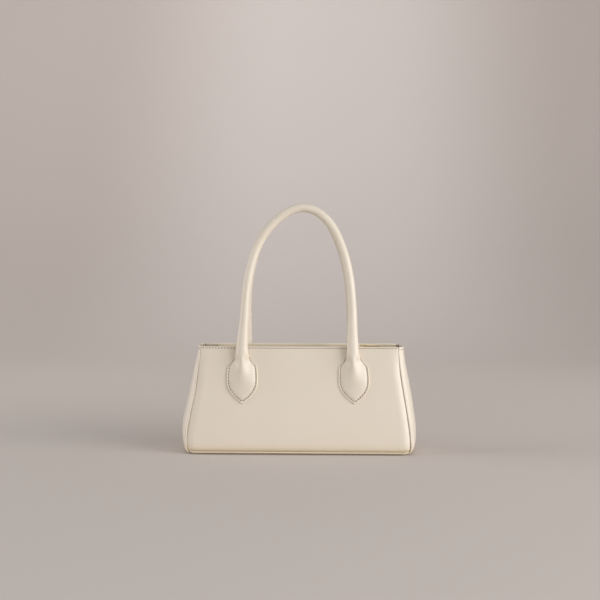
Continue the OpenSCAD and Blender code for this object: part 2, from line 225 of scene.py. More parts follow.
def thicken(piece, thickness, clamp=0.0):
    """Real thickness on the inner side of a sheet, after its faces are turned away from the bag's middle.
    clamp keeps it thin where the sheet turns so tightly that its two sides would cross."""
    middle = mm(0.0, 0.0, BODY_H / 2)
    if sum(face.area * face.normal.dot(face.center - middle) for face in piece.data.polygons) < 0:
        piece.data.flip_normals()
    put(piece.modifiers.new("thickness", "SOLIDIFY"),
        thickness=thickness * MM, offset=-1.0, thickness_clamp=clamp)


# %% [markdown]
# ## The camera
# The photograph looks almost square at the front, from a little above and a little from the bag's right. A
# long lens from 1.7 m keeps the panels' edges nearly parallel, as in a product photograph.

# %% Camera at the photograph's viewing angle
AIM = Vector((-0.0002, 0.0, 0.1637))
CAMERA_FAR, CAMERA_TURN, CAMERA_RISE = 1.7, radians(2.2), radians(4.1)
SENSOR_W, PICTURE_PX, MM_PER_PX = 36, 600, 1.087

camera_data = bpy.data.cameras.new("photo_camera")
camera = bpy.data.objects.new("photo_camera", camera_data)
bpy.context.collection.objects.link(camera)
to_camera = Vector((sin(CAMERA_TURN) * cos(CAMERA_RISE),
                    -cos(CAMERA_TURN) * cos(CAMERA_RISE), sin(CAMERA_RISE)))
camera.location = AIM + to_camera * CAMERA_FAR
camera.rotation_euler = (-to_camera).to_track_quat("-Z", "Y").to_euler()
lens = SENSOR_W * CAMERA_FAR / (PICTURE_PX * MM_PER_PX * MM)
put(camera_data, sensor_width=SENSOR_W, lens=lens, clip_end=50)
bpy.context.scene.camera = camera
print(f"lens {lens:.1f} mm at {CAMERA_FAR} m")


# %% [markdown]
# ## Materials
# The outside is smooth calf leather, dyed cream and finished with a soft satin top coat. Its surface was
# drummed and pressed, so the grain is very fine: pores of about half a millimetre that only break up the
# sheen. Colours are written as they are seen on a screen, in hex, and one function turns them into the linear
# values that a shader needs.

# %% Colour and node helpers
def srgb(hex_text):
    parts = [int(hex_text[i:i + 2], 16) / 255 for i in (1, 3, 5)]
    return tuple(p / 12.92 if p <= 0.04045 else ((p + 0.055) / 1.055) ** 2.4 for p in parts) + (1.0,)


def node(tree, kind, settings=(), links=()):
    """Adds a node, and sets and links its attributes and sockets by name."""
    made = tree.nodes.new("ShaderNode" + kind)
    for key, value in dict(settings).items():
        if isinstance(key, str) and hasattr(made, key):
            setattr(made, key, value)
        else:
            made.inputs[key].default_value = value
    connect(tree, made, dict(links))
    return made


def connect(tree, made, links):
    """Links a node's named inputs from other nodes' outputs."""
    for key, (other, output) in links.items():
        tree.links.new(other.outputs[output], made.inputs[key])


def tint(tree, first, second, share):
    """Mixes two colours by another node's output."""
    return node(tree, "Mix", {"data_type": "RGBA", 6: srgb(first), 7: srgb(second)}, {0: share})


def soft_step(tree, start, end, value):
    """Goes softly from nought to one while a node's output goes from start to end."""
    return node(tree, "MapRange", {"From Min": start, "From Max": end, "interpolation_type": "SMOOTHSTEP"},
                {"Value": value})


def relief(tree, shader, strength, depth, height):
    """Bumps a surface by another node's output. The depth is in metres."""
    bump = node(tree, "Bump", {"Strength": strength, "Distance": depth}, {"Height": height})
    connect(tree, shader, {"Normal": (bump, "Normal")})


def new_material(name, settings):
    """A material, its node tree and shader, and a link to the places on the piece."""
    material = bpy.data.materials.new(name)
    material.use_nodes = True
    tree = material.node_tree
    shader = tree.nodes["Principled BSDF"]
    for key, value in settings.items():
        shader.inputs[key].default_value = value
    return material, tree, shader, {"Vector": (node(tree, "TexCoord"), "Object")}


def per_mm(size):
    """The scale of a pattern whose features are this many millimetres apart."""
    return 1 / (size * MM)


print("cream in linear values:", [round(c, 3) for c in srgb("#e2d7c7")])

# %% [markdown]
# ### Calf leather
# Dye soaks in a little unevenly, which gives clouds a few centimetres across. The pores are drawn at 0.7 mm,
# a bit coarser than real calf, so that they can show at all. A fine wrinkle lies over them. The satin coat is
# a weak clear layer with a broad highlight, and the gloss itself varies a little where the hide was handled.
# Near the foot a warmer, darker tone is painted in as shade, where the panels roll under towards the table.

# %% Cream calf leather
CLOUD, PORE, WRINKLE = 40.0, 0.7, 3.0  # millimetres between dye clouds, pores and wrinkles
GRAIN_DEPTH = 0.00012  # metres
FOOT_SHADE_TOP, FOOT_SHADE_FULL = 0.014, 0.003  # heights in metres between which the painted shade at the foot comes in


def calf_leather(name, light, dark, roughness, pore_depth=0.35, foot_shade=None):
    material, tree, shader, here = new_material(name, {
        "IOR": 1.48, "Coat Weight": 0.1, "Coat Roughness": 0.3, "Sheen Weight": 0.06, "Sheen Roughness": 0.5})
    clouds = node(tree, "TexNoise", {"Scale": per_mm(CLOUD), "Detail": 3.0, "Roughness": 0.55}, here)
    dye = tint(tree, light, dark, (clouds, "Fac"))
    pores = node(tree, "TexVoronoi", {"Scale": per_mm(PORE), "Randomness": 0.9}, here)
    wrinkle = node(tree, "TexNoise", {"Scale": per_mm(WRINKLE), "Detail": 4.0}, here)
    grain = node(tree, "Mix", {"data_type": "FLOAT", 0: 0.5}, {2: (pores, "Distance"), 3: (wrinkle, "Fac")})
    relief(tree, shader, pore_depth, GRAIN_DEPTH, (grain, 0))
    gloss = node(tree, "MapRange", {"To Min": roughness - 0.05, "To Max": roughness + 0.06},
                 {"Value": (clouds, "Fac")})
    tone = (dye, 2)
    # Painted shade: below 14 mm the colour turns warmer and darker, where the leather rolls under to the
    # table.
    if foot_shade:
        height = node(tree, "SeparateXYZ", {}, here)
        low = soft_step(tree, FOOT_SHADE_TOP, FOOT_SHADE_FULL, (height, "Z"))
        foot_shaded = node(tree, "Mix", {"data_type": "RGBA", 7: srgb(foot_shade)}, {0: (low, 0), 6: tone})
        tone = (foot_shaded, 2)
    connect(tree, shader, {"Base Color": tone, "Roughness": (gloss, 0)})
    return material


# Box-pressed calf with a satin coat: an even cream face with a broad, soft highlight and a hint of pores.
# The warmer foot colour given here is painted shade at the rolled foot.
PANEL_LEATHER = calf_leather("calf_leather_cream_satin", "#e2d7c7", "#ddd1bf", 0.43, foot_shade="#d8c8b0")
# The same hide pulled tight round cord and filler: a little smoother, so a streak of light runs along it.
HANDLE_LEATHER = calf_leather("calf_leather_cream_rolled", "#e0d6c6", "#dbcfbd", 0.42, pore_depth=0.25)
# Turned and painted edges: the stretched grain is paler and a touch more matt than the faces beside it.
EDGE_LEATHER = calf_leather("calf_leather_cream_turned", "#e6dccb", "#e0d4c0", 0.46)
# Painted shade: the same hide as a warmer, darker and duller copy, for the parts in the mouth and at the foot
# where shade falls.
SHADED_LEATHER = calf_leather("calf_leather_cream_shaded", "#dccfb6", "#d6c7ac", 0.5)
print("leathers:", [m.name for m in bpy.data.materials])


# %% [markdown]
# ### Thread and pricked holes
# The bag is sewn with waxed thread a shade darker than the leather. What the eye sees from a step away are
# the little shadowed pits between the stitches, so the holes get a dark tan of their own.

# %% Thread and holes
TWIST, TWIST_DEPTH = 0.9, 0.00008  # millimetres for three ribs of the thread, and their height in metres


def thread_material(name, colour):
    material, tree, shader, here = new_material(name, {
        "Base Color": srgb(colour), "Roughness": 0.55, "IOR": 1.5, "Sheen Weight": 0.2})
    twist = node(tree, "TexWave", {"Scale": per_mm(TWIST), "Distortion": 1.0}, here)
    relief(tree, shader, 0.4, TWIST_DEPTH, (twist, "Fac"))
    return material


def hole_material(name, light, dark):
    material, tree, shader, here = new_material(name, {"Roughness": 0.9})
    fibres = node(tree, "TexNoise", {"Scale": per_mm(2.0)}, here)
    tone = tint(tree, light, dark, (fibres, "Fac"))
    connect(tree, shader, {"Base Color": (tone, 2)})
    return material


# Waxed linen thread: a dull beige line, lightly ribbed by its twist.
THREAD = thread_material("waxed_thread_beige", "#ddd1bd")
# A hole pricked through leather is all shadow, so it reads as a small matt dark tan dot.
HOLE = hole_material("pricked_hole_shadow", "#4d3d2b", "#3d2f20")
print("thread and hole:", THREAD.name, HOLE.name)


# %% [markdown]
# ### Cloth, board, cord and metal
# The lining is a beige cotton twill with diagonal ridges 0.9 mm wide. The zip tape is a herringbone of the
# same cotton. The stiffeners are grey-brown pulp board with fibres, and the handle cord is raw cotton. The
# zip is brass with a pale gold plating, brushed along its length.

# %% Woven and inner materials
WEAVE_TURN = (0.5, 0.35, 0.78)  # the ribs run slantwise over every face
SLUB, RIB_DEPTH = 6.0, 0.0002  # millimetres between thick places, and the ribs' height in metres
WAVE_STEP = 6.28  # with it a rib and the valley beside it are each about one thread wide


def woven(name, light, dark, thread_mm, roughness=0.85):
    material, tree, shader, here = new_material(name, {"Roughness": roughness, "Sheen Weight": 0.3})
    turn = node(tree, "Mapping", {"Rotation": WEAVE_TURN}, here)
    ribs = node(tree, "TexWave", {"Scale": per_mm(thread_mm * WAVE_STEP), "Distortion": 0.6, "Detail": 1.0},
                {"Vector": (turn, "Vector")})
    slub = node(tree, "TexNoise", {"Scale": per_mm(SLUB), "Detail": 3.0}, here)
    both = node(tree, "Mix", {"data_type": "FLOAT", 0: 0.35}, {2: (ribs, "Fac"), 3: (slub, "Fac")})
    tone = tint(tree, dark, light, (both, 0))
    relief(tree, shader, 0.5, RIB_DEPTH, (ribs, "Fac"))
    connect(tree, shader, {"Base Color": (tone, 2)})
    return material


# Cotton twill: a dry, matt beige with fine diagonal ridges. The ridges are drawn 0.9 mm wide, coarser than
# the real half millimetre, so that they can show.
LINING = woven("cotton_twill_beige", "#cbbca3", "#b9a98e", 0.9)
# Woven zip tape: paler and tighter, with ribs that catch a thin line of light.
TAPE = woven("zip_tape_herringbone", "#d9cdb8", "#c6b9a1", 0.7)
# Raw cotton cord: undyed, soft and furry, with thick yarns.
CORD = woven("raw_cotton_cord", "#ddd3c0", "#c9bda6", 1.2)
# Pressed pulp board: grey-brown and flat, with clumps of fibre three millimetres across.
BOARD = woven("pulp_board_grey", "#a89a87", "#988976", 3.0, 0.95)
print("woven and inner:", [m.name for m in (LINING, TAPE, CORD, BOARD)])


# %% Brushed brass
BRUSH, BRUSH_DEPTH = 0.5, 0.00003  # millimetres between brush lines, and their depth in metres


def brushed_brass(name, colour):
    material, tree, shader, here = new_material(name, {"Base Color": srgb(colour), "Metallic": 1.0})
    stretch = node(tree, "Mapping", {"Scale": (0.08, 1.0, 1.0)}, here)
    lines = node(tree, "TexNoise", {"Scale": per_mm(BRUSH), "Detail": 2.0}, {"Vector": (stretch, "Vector")})
    gloss = node(tree, "MapRange", {"To Min": 0.22, "To Max": 0.36}, {"Value": (lines, "Fac")})
    relief(tree, shader, 0.15, BRUSH_DEPTH, (lines, "Fac"))
    connect(tree, shader, {"Roughness": (gloss, 0)})
    return material


# Plated brass, brushed lengthwise: a pale gold whose highlight is drawn out across the brush lines.
BRASS = brushed_brass("brass_plated_pale_gold", "#d9c08a")
print("metal:", BRASS.name)


# %% [markdown]
# ## Stitches
# A stitch is a short bowed piece of thread between two pricked holes. The machine sets one every 3.3 mm. Each
# row is two meshes: little capsules for the thread, and small sunk dots for the holes.

# %% Rows of stitches
OCTAGON = [k * pi / 4 for k in range(8)]
# Along a stitch: share of the way to the next hole, share of the thread's radius, and lift in radii.
THREAD_RINGS = ((0.14, 0.3, -0.5), (0.22, 0.85, 0.0), (0.36, 1.0, 0.4),
                (0.64, 1.0, 0.4), (0.78, 0.85, 0.0), (0.86, 0.3, -0.5))
# Up through a hole's dot: height and radius, both as shares of the hole's radius.
HOLE_RINGS = ((-0.3, 0.6), (0.0, 1.0), (0.12, 0.8), (0.16, 0.3))


def resample(points, pitch):
    """Points at equal steps along a line, each with the direction of the line there."""
    lengths = [0.0]
    for a, b in zip(points, points[1:]):
        lengths.append(lengths[-1] + (b - a).length)
    count = max(1, round(lengths[-1] / pitch))
    out, k = [], 0
    for i in range(count + 1):
        want = lengths[-1] * i / count
        while k < len(points) - 2 and lengths[k + 1] < want:
            k += 1
        share = (want - lengths[k]) / max(lengths[k + 1] - lengths[k], 1e-9)
        a, b = points[k], points[k + 1]
        out.append((a + (b - a) * share, (b - a).normalized()))
    return out


def beads(name, sets, material, body):
    """One mesh of many small closed beads, each a list of rings of eight points."""
    points, faces = [], []
    for rings in sets:
        start = len(points)
        points += [p for ring in rings for p in ring]
        faces += grid_faces(len(rings), 8, True, start)
        faces.append(tuple(start + j for j in range(8)))
        faces.append(tuple(start + (len(rings) - 1) * 8 + j for j in range(7, -1, -1)))
    dress(finish_mesh(name, points, faces), material, body, "cream_leather")


def stitch_row(name, points, up, body="bag", thread_r=0.3, hole_r=0.6):
    """Thread and holes along a line. up is the direction in which the leather faces."""
    places = resample(points, STITCH_PITCH * MM)
    thread_r, hole_r = thread_r * MM, hole_r * MM
    threads, holes = [], []
    for (a, _), (b, _) in zip(places, places[1:]):
        step = b - a
        aside = step.cross(up).normalized()
        threads.append([
            [a + step * t + up * thread_r * lift + (aside * cos(q) + up * sin(q)) * thread_r * scale
             for q in OCTAGON] for t, scale, lift in THREAD_RINGS])
    for a, along in places:
        aside = along.cross(up).normalized()
        holes.append([
            [a + up * hole_r * lift + (aside * cos(q) + along * sin(q)) * hole_r * scale
             for q in OCTAGON] for lift, scale in HOLE_RINGS])
    beads(f"{name}_thread", threads, THREAD, body)
    beads(f"{name}_holes", holes, HOLE, body)


print(f"one stitch every {STITCH_PITCH} mm")


# %% [markdown]
# ## The front and back panels
# Each panel is a leather sheet glued over a board, with a thin foam between them, so it is slightly pillowed:
# it rolls away towards the side seams and catches the light there. The top edge is folded over to the inside,
# and the foot rolls under to the base. One grid makes it all, with columns crowded together at the seams.

# %% Places down and across a panel
TOP_R = 1.35  # radius of the folded top edge
ROLL_TURN, ROLL_SHARE = 102, 0.83  # degrees that the foot rolls, and the share of 90 that meets the base
EDGE_STEPS = (-0.15, 0.0, 0.1, 0.25, 0.45, 0.7, 1.0, 1.4, 1.9, 2.5, 3.3, 4.3, 5.5, 7.0, 9.0, 11.5, 14.5,
              18.0, 22.0)
MIDDLE_FROM, MIDDLE_STEPS = 26.0, 57  # where the even columns between the crowded ones start


def roll_run():
    """Distance down the slope at which the panel starts to roll under."""
    turn = radians(90 * ROLL_SHARE)
    drop = BODY_H - BASE_T - 0.12 - ROLL_R * (1 - cos(turn)) * sin(LEAN)
    return drop / cos(LEAN) - ROLL_R * sin(turn)


def panel_rows():
    """Places down the slope and out of it: turned top, face and rolled foot."""
    rows = [(s, -2 * TOP_R) for s in (12.0, 6.0, 3.0, 1.8)]
    for k in range(9):
        a = pi * k / 8
        rows.append((TOP_R - TOP_R * sin(a), -TOP_R - TOP_R * cos(a)))
    run = roll_run()
    rows += [(s, 0.0) for s in (1.5, 1.75, 2.0, 2.25, 2.5, 2.9, 3.6, 5.0, 7.5)]
    rows += [(s, 0.0) for s in spread(10.0, run - 3.0, 36)]
    for k in range(13):
        a = radians(ROLL_TURN) * k / 12
        rows.append((run + ROLL_R * sin(a), -ROLL_R + ROLL_R * cos(a)))
    return rows


print(f"{len(panel_rows())} rows, {2 * len(EDGE_STEPS) + MIDDLE_STEPS} columns")

# %% Soft shape of a panel
PILLOW = 1.0  # how far the middle stands proud
TOP_FALL, PANEL_FALL, FALL_W = 0.8, 2.6, 8.5  # fall beside the seams: at the top, below it, and how wide
FOAM_WAVE = 0.4  # unevenness of the foam
STITCH_DENT, FOOT_DENT = 0.2, 0.35  # where the top row and the roll pull the leather in
EDGE_TURN, EDGE_TURN_W = 0.8, 0.6  # the last turn into the seam, deep and wide
INSIDE_DEPTH, INSIDE_IN = 2.7, 2.2  # the folded part lies this far behind the face, and is this much shorter


def panel_out(x, s, d, side):
    """How far the sheet stands out of the panel's plane, x across, s down and d in from the seam."""
    high = unit(s / (BODY_H / cos(LEAN)))
    pillow = PILLOW * sin(pi * high) ** 0.7 * (1 - (x / 122.0) ** 2)
    fall = -(TOP_FALL + (PANEL_FALL - TOP_FALL) * ease(s / 30)) * (1 - unit(d / FALL_W)) ** 2
    wave = FOAM_WAVE * uneven(x / 60.0, s / 42.0, 3.0 * side + 7.0)
    pressed = -STITCH_DENT * bell(s - STITCH_DROP, 0.5)
    foot = -FOOT_DENT * ease((s - 96) / 14)
    return pillow + fall + wave * unit(s / 25) + pressed + foot


def panel_edge(d):
    """The last 0.6 mm at the side turns down into the seam."""
    if d <= 0.0:
        return -EDGE_TURN + 5.0 * d
    return -EDGE_TURN * (1 - sqrt(1 - (1 - unit(d / EDGE_TURN_W)) ** 2))


def panel_piece(name, side):
    rows = []
    for s, out in panel_rows():
        z = BODY_H + out * sin(LEAN) - s * cos(LEAN)
        inside = unit(-out / INSIDE_DEPTH) if s < 20 else 0.0
        left, right = half_w(z, -1) - INSIDE_IN * inside, half_w(z, 1) - INSIDE_IN * inside
        places = [(-left + d, d) for d in EDGE_STEPS]
        places += [(x, min(left + x, right - x))
                   for x in spread(-left + MIDDLE_FROM, right - MIDDLE_FROM, MIDDLE_STEPS)]
        places += [(right - d, d) for d in reversed(EDGE_STEPS)]
        row = []
        for x, d in places:
            soft = (panel_out(x, s, d, side) + panel_edge(d)) * (1 - inside)
            row.append(on_panel(x, out + soft, s, side))
        rows.append(row)
    # The fold's two open ends are closed by faces between these rows: the round part, then three steps down.
    end_rows = (range(3, 15), (3, 14, 15, 16, 17, 18, 2), (2, 18, 19, 20, 1), (1, 20, 21, 22, 23, 0))
    count = len(rows[0])
    plugs = [tuple(i * count + j for i in numbers) for j in (0, count - 1) for numbers in end_rows]
    return grid_piece(name, rows, extra_faces=plugs)


for side, where in SIDES:
    panel = panel_piece(f"{where}_panel_leather", side)
    dress(panel, PANEL_LEATHER, "bag", "cream_leather", f"{where}_panel")
    thicken(panel, 1.2, clamp=2.0)
    tell(panel)

# %% [markdown]
# ## Gussets
# The gussets are single leather with no board, so they swell. They are widest a third of the way up and tuck
# in under the lower corners. Each long edge is turned and makes a narrow ridge beside the seam, with a
# shallow valley behind it. The top is hemmed and sewn with one row.

# %% Level cut of a gusset
RIDGE_R, SET_BACK = 0.75, 1.4  # the turned edge, and how far it starts behind the panel's plane
RIGHT_SWELL, LEFT_SWELL = 0.87, 0.95  # shares of the drawing's swell
RIGHT_HIGH = 1.7  # and what the right one swells more near its rim


def swell_at(z):
    """How far the gusset stands out of its seams at a height."""
    low = unit((z - BASE_T) / SWELL_H)
    high = ease((z - SWELL_H) / (BODY_H - SWELL_H))
    return SWELL * sin(pi / 2 * low) ** 0.45 - (SWELL - RIM_SWELL) * high


def gusset_section(z, side):
    """Half a level cut: out of the seam, round the ridge, through the valley and over the swell."""
    d = half_d(z)
    edge = half_w(z, side) + 0.05
    points = [(edge + 0.1, -d + SET_BACK + 4.0), (edge + 0.05, -d + SET_BACK + 2.2)]
    for k in range(10):
        a = radians(205) * k / 9
        points.append((edge + RIDGE_R - RIDGE_R * cos(a), -d + SET_BACK + RIDGE_R - RIDGE_R * sin(a)))
    last_x, last_y = points[-1]
    swell = swell_at(z) * (RIGHT_SWELL if side > 0 else LEFT_SWELL)
    if side > 0:
        swell += RIGHT_HIGH * ease((z - 45) / 45)
    for k in range(1, 27):
        v = k / 26
        y = last_y * (1 - v)
        body = half_w(z, side) + 0.12 + LEATHER + swell * (1 - abs(y / d) ** 2.6)
        near = bell(y - last_y, 2.0)
        points.append((body * (1 - near) + (last_x - 0.25 + 0.35 * v) * near, y))
    return points


print(f"swell a third of the way up: {swell_at(BODY_H / 3):.1f} mm")

# %% Gusset sheet
HEM_R = 0.8  # radius of the folded rim
RIM_DIP = {1: 1.5, -1: 0.7}  # how far the rim hangs in its middle, right and left
CREASE, RIPPLE = 0.5, 0.5  # depth of the soft crease and of the leather's unevenness
HEM_FROM, LAYER_FROM, ROW_FROM = 5, 14, 10  # columns where the hem, its inner layer and its stitches start


def gusset_row(z, side):
    half = gusset_section(z, side)
    dip = RIM_DIP[side] * ease((z - 90) / 25)
    row = []
    for x, y in half + [(x, -y) for x, y in reversed(half[:-1])]:
        v = unit(1 - abs(y) / half_d(z))
        crease = -CREASE * bell(y + 0.15 * half_d(z), 5.0) * ease((z - 55) / 50) * (1 - ease((z - 108) / 8))
        ripple = RIPPLE * uneven(y / 20.0, z / 30.0, 11.0 * side) + crease
        row.append(mm(side * (x + ripple * ease(v * 3)), y, z - dip * (1 - (y / half_d(z)) ** 2)))
    return row


def gusset_piece(name, side):
    foot, top = BASE_T + 0.1, BODY_H - HEM_R
    rows = [gusset_row(foot + (top - foot) * (i / 60) ** 1.4, side) for i in range(61)]
    rim = rows[-1]
    last = len(rim) - 1
    radii = [HEM_R * ease((min(k, last - k) - HEM_FROM) / 8) for k in range(last + 1)]
    for k in range(1, 9):
        a = pi * k / 8
        rows.append([p + mm(-side * r * (1 - cos(a)), 0.0, r * sin(a))
                     for p, r in zip(rim, radii)])
    for drop in (2.0, 5.0, 10.0):
        inner = [p + mm(-side * 2 * HEM_R, 0.0, 0.0) for p in gusset_row(top - drop, side)]
        rows.append([inner[min(max(k, LAYER_FROM), last - LAYER_FROM)] for k in range(last + 1)])
    piece = grid_piece(name, rows)
    dress(piece, PANEL_LEATHER, "bag", "cream_leather", name.replace("_leather", ""))
    thicken(piece, 0.7)
    row = [p + mm(side * 0.1, 0, 0) for p in gusset_row(BODY_H - 2.9, side)[ROW_FROM:-ROW_FROM]]
    stitch_row(f"{name}_hem", row, Vector((side, 0.0, 0.05)).normalized())
    tell(piece)


gusset_piece("right_gusset_leather", 1)
gusset_piece("left_gusset_leather", -1)

# %% [markdown]
# ## The side seams
# Panel and gusset meet in a groove. At its bottom the thread of the seam crosses from one to the other, which
# shows as a fine dotted line in the shadow.

# %% Thread in the seam grooves
GROOVE_HOLE = {-1: 0.44, 1: 0.4}  # the left groove is open a little wider


def seam_line(side, hand):
    line = []
    for z in spread(BODY_H - 1.5, 9.0, 60):
        y = side * (half_d(z) - 1.3 - 1.6 * unit((BODY_H - z) / 30))
        line.append(mm(hand * (half_w(z, hand) + 0.02), y, z))
    return line


for side, where in SIDES:
    for hand, which in HANDS:
        line = seam_line(side, hand)
        stitch_row(f"{where}_{which}_seam", line, panel_normal(side), thread_r=0.24, hole_r=GROOVE_HOLE[hand])
        print(f"{where} {which} seam: {(line[0] - line[-1]).length / MM:.0f} mm")

# %% [markdown]
# ## Base
# The base is one leather sheet over a board. Its edge is turned and shows as a thin bright roll all round the
# foot, under a shadow line where the panels roll in. At the four corners the roll lifts a little, as the
# leather is pulled up into the side seams.

# %% Base with its turned edge
BASE_ROLL_R, BASE_ROLL_Z = 0.85, 2.55  # the bright roll round the foot, and its height
ROLL_SET_IN = 1.4  # how far it lies inside the foot's width at the ends
CORNER_R, LIFT = 6.0, 2.2  # corners of the base, and how far the roll climbs there
UPPER_CUT = [(16.0, 2.15), (7.0, 2.3), (4.2, 2.9)]  # how far in, and how high
SOLE_CUT = [(2.6, 1.65), (4.0, 1.1), (4.7, 0.4), (5.2, 0.0), (9.0, 0.0)]
ROLL_ANGLES = [radians(a) for a in (150, 120, 95, 70, 45, 20, 0, -20, -45, -70, -90)]


def base_outline(w, d, r, count=10):
    """Points round a rectangle with round corners, and a few on each straight run, most near its ends."""
    corners = ((w - r, d - r, 0), (-w + r, d - r, 90), (-w + r, -d + r, 180), (w - r, -d + r, 270))
    turns = [[radians(start + 90 * k / count) for k in range(count + 1)] for _, _, start in corners]
    arcs = [[(x + r * cos(a), y + r * sin(a)) for a in turn]
            for (x, y, _), turn in zip(corners, turns)]
    points = []
    for arc, after in zip(arcs, arcs[1:] + arcs[:1]):
        (x0, y0), (x1, y1) = arc[-1], after[0]
        points += arc + [(x0 + (x1 - x0) * t, y0 + (y1 - y0) * t)
                         for t in (0.02, 0.05, 0.1, 0.5, 0.9, 0.95, 0.98)]
    return points


def corner_lift(x, y):
    """How far the roll is lifted at a place near a corner."""
    across = unit((abs(x) - (FOOT_W / 2 - 8.4)) / 7.0)
    along = unit((abs(y) - (FOOT_D / 2 - 9.0)) / 9.0)
    return LIFT * (1 - sqrt(1 - across ** 2)) * ease(along * 1.4)


def base_piece():
    roll = [(BASE_ROLL_R - BASE_ROLL_R * cos(a), BASE_ROLL_Z + BASE_ROLL_R * sin(a))
            for a in ROLL_ANGLES]
    rows = []
    for inset, z in UPPER_CUT + roll + SOLE_CUT:
        outline = base_outline(FOOT_W / 2 - ROLL_SET_IN - inset, FOOT_D / 2 - inset,
                               max(CORNER_R - inset, 1.2))
        rows.append([mm(x, y, z + corner_lift(x, y) * unit(2.2 - inset / 2)) for x, y in outline])
    return grid_piece("base_leather", rows, ring=True, caps=True)


base = base_piece()
# The base wears the painted-shade copy of the cream leather.
dress(base, SHADED_LEATHER, "bag", "cream_leather", "base_panel")
print("base size, mm:", [round(d / MM, 1) for d in base.dimensions])

# %% [markdown]
# ## Handles and tabs
# A rolled handle is one strip of leather sewn round a cord. At each end the roll flattens, narrows to a neck
# at the bag's edge and opens into a leaf-shaped tab, padded so that it domes. It is modelled as one closed
# skin from tip to tip: rings round the arch, rings that turn from an ellipse into a dome on a flat back, and
# a small cap at each tip. A worn handle never stands quite true, so the arch leans a few millimetres to the
# right at its crown.

# %% Line of the arch
ARCH_HALF, ARCH_TOP = 58.4, 151.3
ARCH_ACROSS, ARCH_UP = 1.85, 3.05  # |x / half| ** across + (z / top) ** up = 1
FOOT_SPREAD = 1.1  # the legs stand this much wider at their feet
LEG_TOP = 96.0  # above this height the crown's points are spaced by angle
BACK_IN = 0.8  # the back handle's feet stand this much closer to the middle
FOOT_SHIFT, BACK_LEG_SHIFT = -2.1, 1.4  # how far the feet, and the back handle's legs, lean to the left


def tab_middle(hand, side):
    return hand * (HANDLE_SPAN / 2 - (BACK_IN if side > 0 else 0.0))


def settle(z, side):
    """Sideways lean of the arch at a height above its fold: left at the feet, right at the crown."""
    lean = FOOT_SHIFT + 1.1 * ease(z / 45) + 0.5 * ease((z - 50) / 60) + 4.0 * ease((z - 100) / 60) ** 1.2
    return lean - (BACK_LEG_SHIFT * ease((z - 4) / 46) * (1 - ease((z - 110) / 40)) if side > 0 else 0.0)


def arch_half(z):
    """Half span of the arch at a height: nearly upright legs that meet in a slightly pointed crown."""
    arch = ARCH_HALF * (1 - unit(z / ARCH_TOP) ** ARCH_UP) ** (1 / ARCH_ACROSS)
    return arch + FOOT_SPREAD * (1 - unit(z / 40)) ** 2


def arch_path(side):
    """Middle line of the tube from fold to fold, as places across and up the plane of the handle."""
    start = asin(unit((LEG_TOP + 1.5) / ARCH_TOP) ** (ARCH_UP / 2))
    crown = [(ARCH_HALF * abs(cos(a)) ** (2 / ARCH_ACROSS), ARCH_TOP * sin(a) ** (2 / ARCH_UP))
             for a in spread(start, pi / 2, 44)]
    left = [(-arch_half(z), z) for z in spread(0.4, LEG_TOP, 40)] + [(-x, z) for x, z in crown]
    whole = left + [(-x, z) for x, z in reversed(left[:-1])]
    narrow = tab_middle(1, side) / (HANDLE_SPAN / 2)
    return [(x * narrow + settle(z, side), z) for x, z in whole]


def arch_frames(side):
    """The arch's points, each with the direction of the tube there."""
    path = arch_path(side)
    frames = []
    for i, (x, z) in enumerate(path):
        (ax, az), (bx, bz) = path[max(0, i - 1)], path[min(len(path) - 1, i + 1)]
        length = hypot(bx - ax, bz - az)
        frames.append((x, z, (bx - ax) / length, (bz - az) / length))
    return frames


print(f"arch {2 * ARCH_HALF:.1f} mm wide, {ARCH_TOP} mm high, {len(arch_frames(-1))} points")


# %% Outline of a tab
NECK_START = 1.4  # the tab starts to widen this far below its neck
TIP_LEAN = {(-1, -1): -1.6, (1, -1): 0.2, (-1, 1): -0.4, (1, 1): -0.4}  # by hand and side
TIP_INSET = 1.2  # at the pointed tip an inset counts this much more


def tip_at(inset):
    """Distance down to the tip of the tab's outline, drawn in by an inset."""
    return TIP_S - TIP_INSET * inset


def tab_lean(s, hand, side):
    """Sideways place of a tab at a distance down: sewn on by hand, so each one sits a little differently."""
    at_tip, at_fold = TIP_LEAN[hand, side], settle(0.0, side)
    return at_fold + (at_tip - at_fold) * unit((s - FOLD_DROP) / (TIP_S - FOLD_DROP))


def tab_half(s, inset):
    """Half width of a tab at a distance down from the top edge."""
    tip = tip_at(inset)
    if s < NECK_DROP:
        return NECK_W / 2 + (TAB_NECK_W - NECK_W) / 2 * unit((s - TAB_TOP) / (NECK_DROP - TAB_TOP))
    neck, shoulder, wide = TAB_NECK_W / 2, SHOULDER_W / 2 - inset, TAB_W / 2 - inset
    if s < SHOULDER_S:
        return neck + (shoulder - neck) * unit((s - NECK_DROP - NECK_START) / (SHOULDER_DROP - NECK_START))
    if s < WIDE_S:
        return wide - (wide - shoulder) * (1 - unit((s - SHOULDER_S) / WIDE_DROP)) ** 2
    return wide * (1 - unit((s - WIDE_S) / (tip - WIDE_S)) ** 2.4)


def dome_half(s):
    """Half width of the dome: the tab's inset outline, its corners only a little softened by the padding."""
    return sum(tab_half(s + step, FLANGE_W) for step in (-1.0, -0.5, 0.0, 0.5, 1.0)) / 5


def tab_ground(cx, s, side):
    """How far the soft panel under a tab stands proud."""
    return max(0.0, panel_out(cx, max(s, 6.0), 40.0, side)) * unit(s / 12)


def tab_point(x, out, s, hand, side):
    """Place on a tab, which follows the soft panel under it."""
    cx = tab_middle(hand, side)
    return on_panel(cx + tab_lean(s, hand, side) + x, out + tab_ground(cx, s, side), s, side)


print(f"tab {TAB_W} mm wide, {TIP_S - NECK_DROP:.1f} mm from neck to tip")

